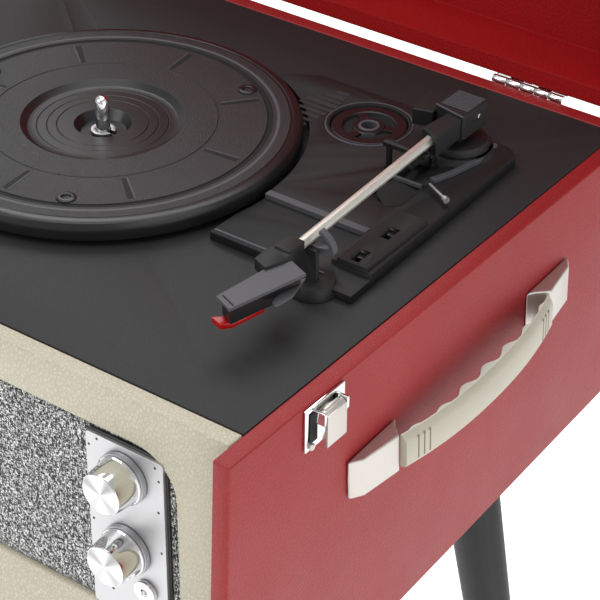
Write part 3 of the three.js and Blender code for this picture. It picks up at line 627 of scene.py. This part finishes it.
def build_panel(mats):
    shape = Shape()
    shape.finish = 1
    left, right, low, high = (PANEL[edge] for edge in ("left", "right", "bottom", "top"))
    # The black plate behind the face shows as a band on the right and top: painted shade for the panel's
    # chamfered edge.
    shape.prism(rounded(left, right, low, high, (2.2,) * 4), PANEL_CHAMFER_Y, PANEL["back"], front)
    shape.finish = 0
    face = rounded(left + 0.2, right - 1.2, low + 0.2, high - 1.4, (1.8,) * 4)
    shape.prism(face, PANEL["front"], PANEL_CHAMFER_Y, front)
    shape.finish = 1
    ticks = (
        (123.9, -33.5), (126.0, -55.8), (128.5, -28.8), (160.2, -29.6), (162.0, -36.0),
        (161.2, -53.0), (124.2, -74.0), (162.0, -75.0), (133.3, -109.7),
    )
    for tick in ticks:
        shape.lathe([(0, -157.06), (0.65, -157.06), (0.65, -156.8), (0, -156.8)], tick, 12, front)
    make("control_face", shape, [mats["silver"], mats["smooth"]], "cabinet", ["control_panel"], 0.35)
    ring = Shape()
    bush = [
        (2.6, -155.5), (2.6, -158.2), (4.4, -158.2), (5.2, -157.4), (5.2, -156.5), (2.6, -155.5),
    ]
    ring.lathe(bush, SOCKET, 32, front)
    make("socket_ring", ring, [mats["chrome"]], "cabinet", (), 0.15)


def build_knob(mats, name, z):
    profile = [
        (0, -172.35), (0.7, -172.35), (0.8, -172.5), (9.7, -172.5), (10.1, -172.2), (10.6, -169.0),
        (11.3, -162.4), (11.4, -161.4), (12.0, -160.9), (12.0, -160.3), (11.5, -160.1),
        (12.6, -159.8), (12.6, -157.3), (12.2, -157.1), (0, -157.1),
    ]
    finish = [0, 0, 0, 1, 1, 1, 1, 1, 1, 2, 2, 2, 2, 2]
    shape = Shape()
    shape.lathe(profile, (KNOB_X, z), 72, front, finish)
    face = turned_face_painted_reflection(f"{name}_face", at(KNOB_X, KNOB_FACE_Y, z))
    make(f"{name}_turned", shape, [face, mats["chrome"], mats["skirt"]], name, [name], 0.14, 28)


# ------------------------------------------------------------------------ turntable

def build_platter(mats):
    profile = [
        (4.4, 4.6), (11.2, 4.6), (11.6, 5.0), (13.9, 9.0), (14.3, 9.4), (22.2, 9.4), (22.4, 9.1),
        (22.7, 9.1), (22.9, 9.4), (27.0, 9.4), (27.2, 9.15), (27.5, 9.15), (27.7, 9.4), (32, 9.4),
        (32.2, 9.15), (32.5, 9.15), (32.7, 9.4), (36.8, 9.4), (37.1, 9.5), (39.8, 11.7), (40.3, 12),
        (56.2, 12), (56.4, 11.6), (56.9, 11.6), (57.1, 12), (80.4, 12), (80.8, 11.4), (83.0, 11.4),
        (83.4, 12), (85.2, 12), (85.5, 12.25), (86.6, 12.25), (86.9, 12), (91.6, 12), (92.0, 11.6),
        (92.9, 11.6), (93.2, 12), (95.2, 11.9), (96.6, 11.3), (97.6, 9.6), (98, 7.4), (98, 3.2),
        (94, 3.2), (94, 9), (64, 9), (64, 1.4), (60, 1.4), (60, 6.5), (16, 6.5), (10.5, 3.4),
        (4.4, 3.4), (4.4, 4.6),
    ]
    # Finishes per segment; the groove from 80.4 to 83.4 mm takes the painted shadow material.
    shade = [1] * 20 + [0] * 5 + [3] * 3 + [0] + [2] * 3 + [0, 1, 1, 1] + [1] * 16
    shape = Shape()
    shape.lathe(profile, (0, 0), 128, flat, shade[:len(profile) - 1])
    # Each slot is a near-black sheet on the top: painted shadow.
    shape.finish = 3
    turns = [SPOKE_START - 360 / PLATTER_SPOKES * k for k in range(PLATTER_SPOKES)]
    for turn in turns:
        slot = turned_outline([(59, -1.1), (78, -1.5), (78, 1.5), (59, 1.1)], turn)
        shape.prism(slot, 11.6, 12.04)
    # The lighter grey strip along one side of each slot is a painted highlight on its edge.
    shape.finish = 2
    for turn in turns:
        ridge = turned_outline([(59, 1.4), (78, 1.9), (78, 2.5), (59, 2.0)], turn)
        shape.prism(ridge, 11.8, 12.25)
    make("platter_moulding", shape, [mats["platter"], mats["smooth"], mats["raised"], mats["painted_shadow"]],
         "platter", ["platter"], 0.12, 30)
    section = [
        (2.0, 11.8), (2.0, 12.5), (2.6, 13.0), (3.9, 13.0), (4.8, 12.5), (4.8, 11.8), (2.0, 11.8),
    ]
    for n, turn in enumerate(GROMMET_ANGLES):
        ring = Shape()
        ring.lathe(section, turned_outline([(GROMMET_RADIUS, 0)], turn)[0], 32)
        make(f"platter_grommet_{n + 1}", ring, [mats["smooth"]], "platter", (), 0.2)


def build_base_detail(mats):
    """Raised ribs, the ramp strip, the finger dish and well gap in painted shadow, and the rod beside the
    arm.
    """
    ribs = Shape()
    for k in range(9):
        y = 60.5 + 4.6 * k
        ribs.box(60 + abs(80 - y) * 0.6, 80.5 - abs(80.8 - y) * 0.15, y, y + 2.2, 6.4, 6.75)
    make("base_corner", ribs, [mats["ribbed"]], "cabinet", (), 0.15)
    strip = Shape()
    strip.prism([(101, -2.6), (158, -2.6), (158, 1.6), (101, 1.6)], 4.0, 6.9)
    strip.prism([(101, -40.8), (162, -40.8), (162, -39.6), (101, -39.6)], 4.0, 6.6)
    strip.prism(
        [(156.2, 53.3), (160.3, 64.3), (163.7, 80.9), (162.5, 99), (165.2, 99), (166.6, 81),
         (163.2, 64.3), (159.4, 52.2)], 6.4, 8.6)
    strip.prism([(140.6, 44.6), (156.2, 44.9), (156.5, 46.4), (140.6, 46.1)], 6.2, 8.2)
    make("base_ridges", strip, [mats["raised"]], "cabinet", (), 0.3)
    # Near-black patches for the finger dish, two small marks and a ring round the well: painted shadow in
    # the hollows.
    dish = Shape()
    hollow = [
        (143.4, 27.9), (152.4, 21.3), (157.8, 26.5), (157.6, 41.9), (141.8, 44.2), (139.8, 33.1),
    ]
    dish.prism(hollow, 6.3, 6.75)
    for y in (-3.8, -27.0):
        dish.box(164.6, 166.0, y + 2.0, y + 9.0, 8.0, 8.4)
    dish.lathe([(20.2, 6.3), (20.2, 6.7), (21.0, 6.7), (21.0, 6.3), (20.2, 6.3)], WELL, 64)
    make("base_hollow_shadows", dish, [mats["painted_shadow"]], "cabinet", (), 0.12)
    rim = Shape()
    rim.lathe([(21.1, 6.3), (21.1, 7.0), (21.9, 7.0), (22.1, 6.3), (21.1, 6.3)], WELL, 64)
    make("well_rim", rim, [mats["raised"]], "cabinet", (), 0.15)
    rod = Shape()
    rod.tube([(160.8, 46, 10), (167, 42.6, 10), (173.2, 39.3, 10)], 0.8)
    rod.tube([(173.2, 39.3, 10), (175.2, 38.2, 10)], 1.7)
    make("arm_rod", rod, [mats["steel"]], "cabinet", (), 0.1)


def build_adapter(mats):
    profile = [
        (3.8, 2.1), (3.8, 6.0), (4.1, 6.3), (5.0, 6.3), (5.4, 5.8), (7.6, 5.6), (8.0, 5.2), (8.4, 4.4),
        (12.6, 4.2), (13.2, 5.6), (13.8, 6.0), (18.2, 6.0), (19.0, 5.5), (19.1, 2.1), (3.8, 2.1),
    ]
    # Segment 7, the sunk floor between the bore and the outer rim, takes the painted shadow.
    finish = [1, 1, 1, 1, 0, 0, 0, 2, 2, 0, 0, 0, 0, 0]
    shape = Shape()
    shape.lathe(profile, WELL, 72, flat, finish)
    shape.finish = 0
    for turn in (20, 140, 260):
        spoke = [(7.8, -2.4), (13.6, -2.4), (13.6, 2.4), (7.8, 2.4)]
        shape.prism(turned_outline(spoke, turn, WELL), 3.6, 5.5)
    make("adapter_moulding", shape, [mats["smooth"], mats["raised"], mats["painted_shadow"]], "adapter",
         ["adapter_45"], 0.2)


# -------------------------------------------------------------------------- tonearm

def build_arm(mats):
    tube = Shape()
    ends = ((156.9, -55, 24.5), (151.6, 62, 24.5))
    rings = []
    for x, y, z in ends:
        rings.append([(x + 2.75 * math.cos(math.radians(a)), y, z + 2.7 * math.sin(math.radians(a)))
                      for a in (15, 60, 90, 120, 165, 195, 240, 300, 345)])
    tube.loft(rings)
    make("arm_rod_tube", tube, [mats["arm"]], "arm", ["arm_tube"], 0.35, 20)

    house = Shape()
    house.prism([(139.8, 81.5), (157.0, 77.9), (157.9, 79.0), (158.1, 99), (140.3, 102.3)], 17.0, 30.0)
    house.prism([(146.1, 60.3), (148, 76.1), (148, 82), (156.6, 80), (156.5, 75.2), (157.1, 56)], 18.0, 29.0)
    house.prism([(130, 76), (140.2, 79), (140.2, 99), (126.6, 97)], 18.0, 26.8)
    make("arm_body", house, [mats["moulded"]], "arm", ["arm_housing"], 0.7, 30)
    ribs = Shape()
    for k in range(11):
        y = 84.2 + 1.45 * k
        ribs.box(141.6, 156.6, y - 0.4, y + 0.4, 29.9, 30.35)
    ribs.prism([(139.9, 81.2), (157.2, 77.6), (157.4, 78.5), (140.0, 82.2)], 29.6, 30.3)
    make("arm_ribs", ribs, [mats["raised"]], "arm", (), 0.12)
    screw = Shape()
    screw.lathe([(0, 158.6), (1.5, 158.6), (1.7, 158.3), (1.7, 157.9), (0, 157.9)], (92, 24.5), 24, side)
    make("arm_screw", screw, [mats["chrome"]], "arm", (), 0.1)

    head = Shape()
    head.finish = 1
    head.prism([(162.9, -65.2), (173.4, -69.5), (163.6, -110), (153.4, -105.7), (157.3, -76.2)], 24.4, 26.0)
    head.finish = 0
    head.prism([(163.2, -68), (158.9, -80), (154.9, -103.6), (162.4, -107.8), (171.3, -70.5)], 16.3, 24.4)
    # A thin near-black strip along the top's front edge: painted shadow.
    head.finish = 2
    head.prism([(155.0, -103.9), (163.6, -107.5), (163.9, -106.8), (155.2, -103.1)], 25.9, 26.1)
    make("pickup_body", head, [mats["smooth"], mats["raised"], mats["painted_shadow"]], "arm", ["cartridge"], 0.5, 30)
    lift = Shape()
    lift.prism([(170.1, -64.9), (166, -73.8), (169.6, -88.4), (170.7, -89.6), (172.2, -90.2),
                (173.3, -89.4), (174.2, -80)], 19.4, 20.3)
    make("finger_lift", lift, [mats["raised"]], "arm", (), 0.25)
    pins = Shape()
    pins.tube([(166.1, -76.7, 18), (164.8, -81.4, 18)], 0.55, 10)
    pins.tube([(167.2, -79.6, 18), (166.5, -83, 18)], 0.55, 10)
    make("pickup_pins", pins, [mats["chrome"]], "arm", (), 0.08)


# --------------------------------------------------------------- handle and latches

def build_handle(mats):
    """Grip on the right side, tilted with the case, and the cast bracket at each end."""
    tilt = math.radians(HANDLE["tilt"])

    def inner(u):
        r = abs(u)
        if r > 67:
            return 1.2
        if r > 62:
            return 1.2 + (67 - r) / 5 * 5.6
        wave = 0.5 - 0.5 * math.cos(2 * math.pi * (u + 0.9) / 17.75)
        return 11.4 + 3.0 * wave - (4.0 * (r - 38) / 24 if r > 38 else 0.0)

    def outer(u):
        return 9.3 + 9.5 * (1 - (abs(u) / 70) ** 2.2)

    def place(p):
        h, u, v = p
        y = HANDLE["y"] + u * math.cos(tilt) - v * math.sin(tilt)
        z = HANDLE["z"] + u * math.sin(tilt) + v * math.cos(tilt)
        return (h, y, z)

    shape = Shape()
    rings = []
    steps = 110
    for n in range(steps + 1):
        u = HANDLE["half"] * (2 * n / steps - 1)
        o, i = outer(u), min(inner(u), outer(u) - 3.6)
        w = HANDLE["half_width"]
        section = [
            (i + 0.6, -w), (o - 2.6, -w), (o - 0.8, -w + 0.8), (o, -w + 2.6), (o, w - 4.6),
            (o - 1.1, w - 2.2), (o - 3.0, w - 0.6), (i + 0.6, w), (i, w - 0.7), (i, -w + 0.7),
        ]
        rings.append([place((CASE_RIGHT + h, u, v)) for h, v in section])

    rows = [[shape.mesh.verts.new(p) for p in ring] for ring in rings]
    # The top face of the grip takes the lighter ivory: painted highlight.
    painted_highlight_face = 6
    for a, b in zip(rows, rows[1:]):
        for k in range(len(a)):
            j = (k + 1) % len(a)
            shape.finish = 1 if k == painted_highlight_face else 0
            shape.face((a[k], a[j], b[j], b[k]))
    shape.finish = 0
    shape.face(rows[0][::-1])
    shape.face(rows[-1])
    # Dark brown strips across the grip's grooves: painted shade.
    shape.finish = 2
    for u0 in GRIP_GROOVES:
        sunk, proud = CASE_RIGHT + outer(u0) - 0.2, CASE_RIGHT + outer(u0) + 0.12
        corners = [(sunk, u0 - 0.45), (proud, u0 - 0.45), (proud, u0 + 0.45), (sunk, u0 + 0.45)]
        shape.loft([[place((h, u, v)) for h, u in corners] for v in (-6.5, 6.5)])
    make("handle_moulding", shape, [mats["ivory"], mats["ivory_highlight"], mats["painted_groove_shade"]], "cabinet",
         ["handle_grip"], 0.35, 40)

    for name, way in (("front", -1), ("rear", 1)):
        plate = Shape()
        outline = [(55.0, 0.4), (59.0, 3.4), (64.0, 9.0), (86.0, 5.6), (91.5, 2.0), (92.0, 0.4)]
        edges = (-BRACKET_HALF_WIDTH, BRACKET_HALF_WIDTH)
        plate.loft([[place((CASE_RIGHT + h, way * u, v)) for u, h in outline] for v in edges])
        make(f"bracket_cast_{name}", plate, [mats["pale_chrome"]], "cabinet",
             [f"handle_bracket_{name}"], 0.9, 30)


def build_latches(mats):
    for side_name, wall, way in (("right", CASE_RIGHT, 1), ("left", CASE_LEFT, -1)):
        lever = NODES[f"latch_lever_{side_name}"]
        lever.data.materials.clear()
        lever.data.materials.append(mats["pale_chrome"])
        shape = Shape()
        x = wall + way * 2.2
        # Two near-black boxes on the wall under the latch: painted shadow in the latch plate's recess.
        for y0, y1, z0 in ((-117.2, -112.0, -18.5), (-99.6, -97.6, -13.0)):
            shape.box(min(x, x - way * 0.4), max(x, x - way * 0.4), y0, y1, z0, -3.6)
        make(f"latch_recess_shadow_{side_name}", shape, [mats["painted_shadow"]], "cabinet", (), 0.1)
        rivet = Shape()
        head = [(0, 0.7), (1.3, 0.7), (1.8, 0.2), (1.8, -0.3), (0, -0.3)]
        rivet.lathe([(r, x + way * h) for r, h in head], (-115.8, -20.6), 24, side)
        make(f"latch_rivet_{side_name}", rivet, [mats["pale_chrome"]], "cabinet", (), 0.1)


MATS = build_materials()
add_camera()
add_studio()
dress_case(MATS)
dress_rest(MATS)
build_cloth(MATS)
build_panel(MATS)
build_knob(MATS, "volume_knob", VOLUME_Z)
build_knob(MATS, "function_knob", FUNCTION_Z)
build_platter(MATS)
build_base_detail(MATS)
build_adapter(MATS)
build_arm(MATS)
build_handle(MATS)
build_latches(MATS)
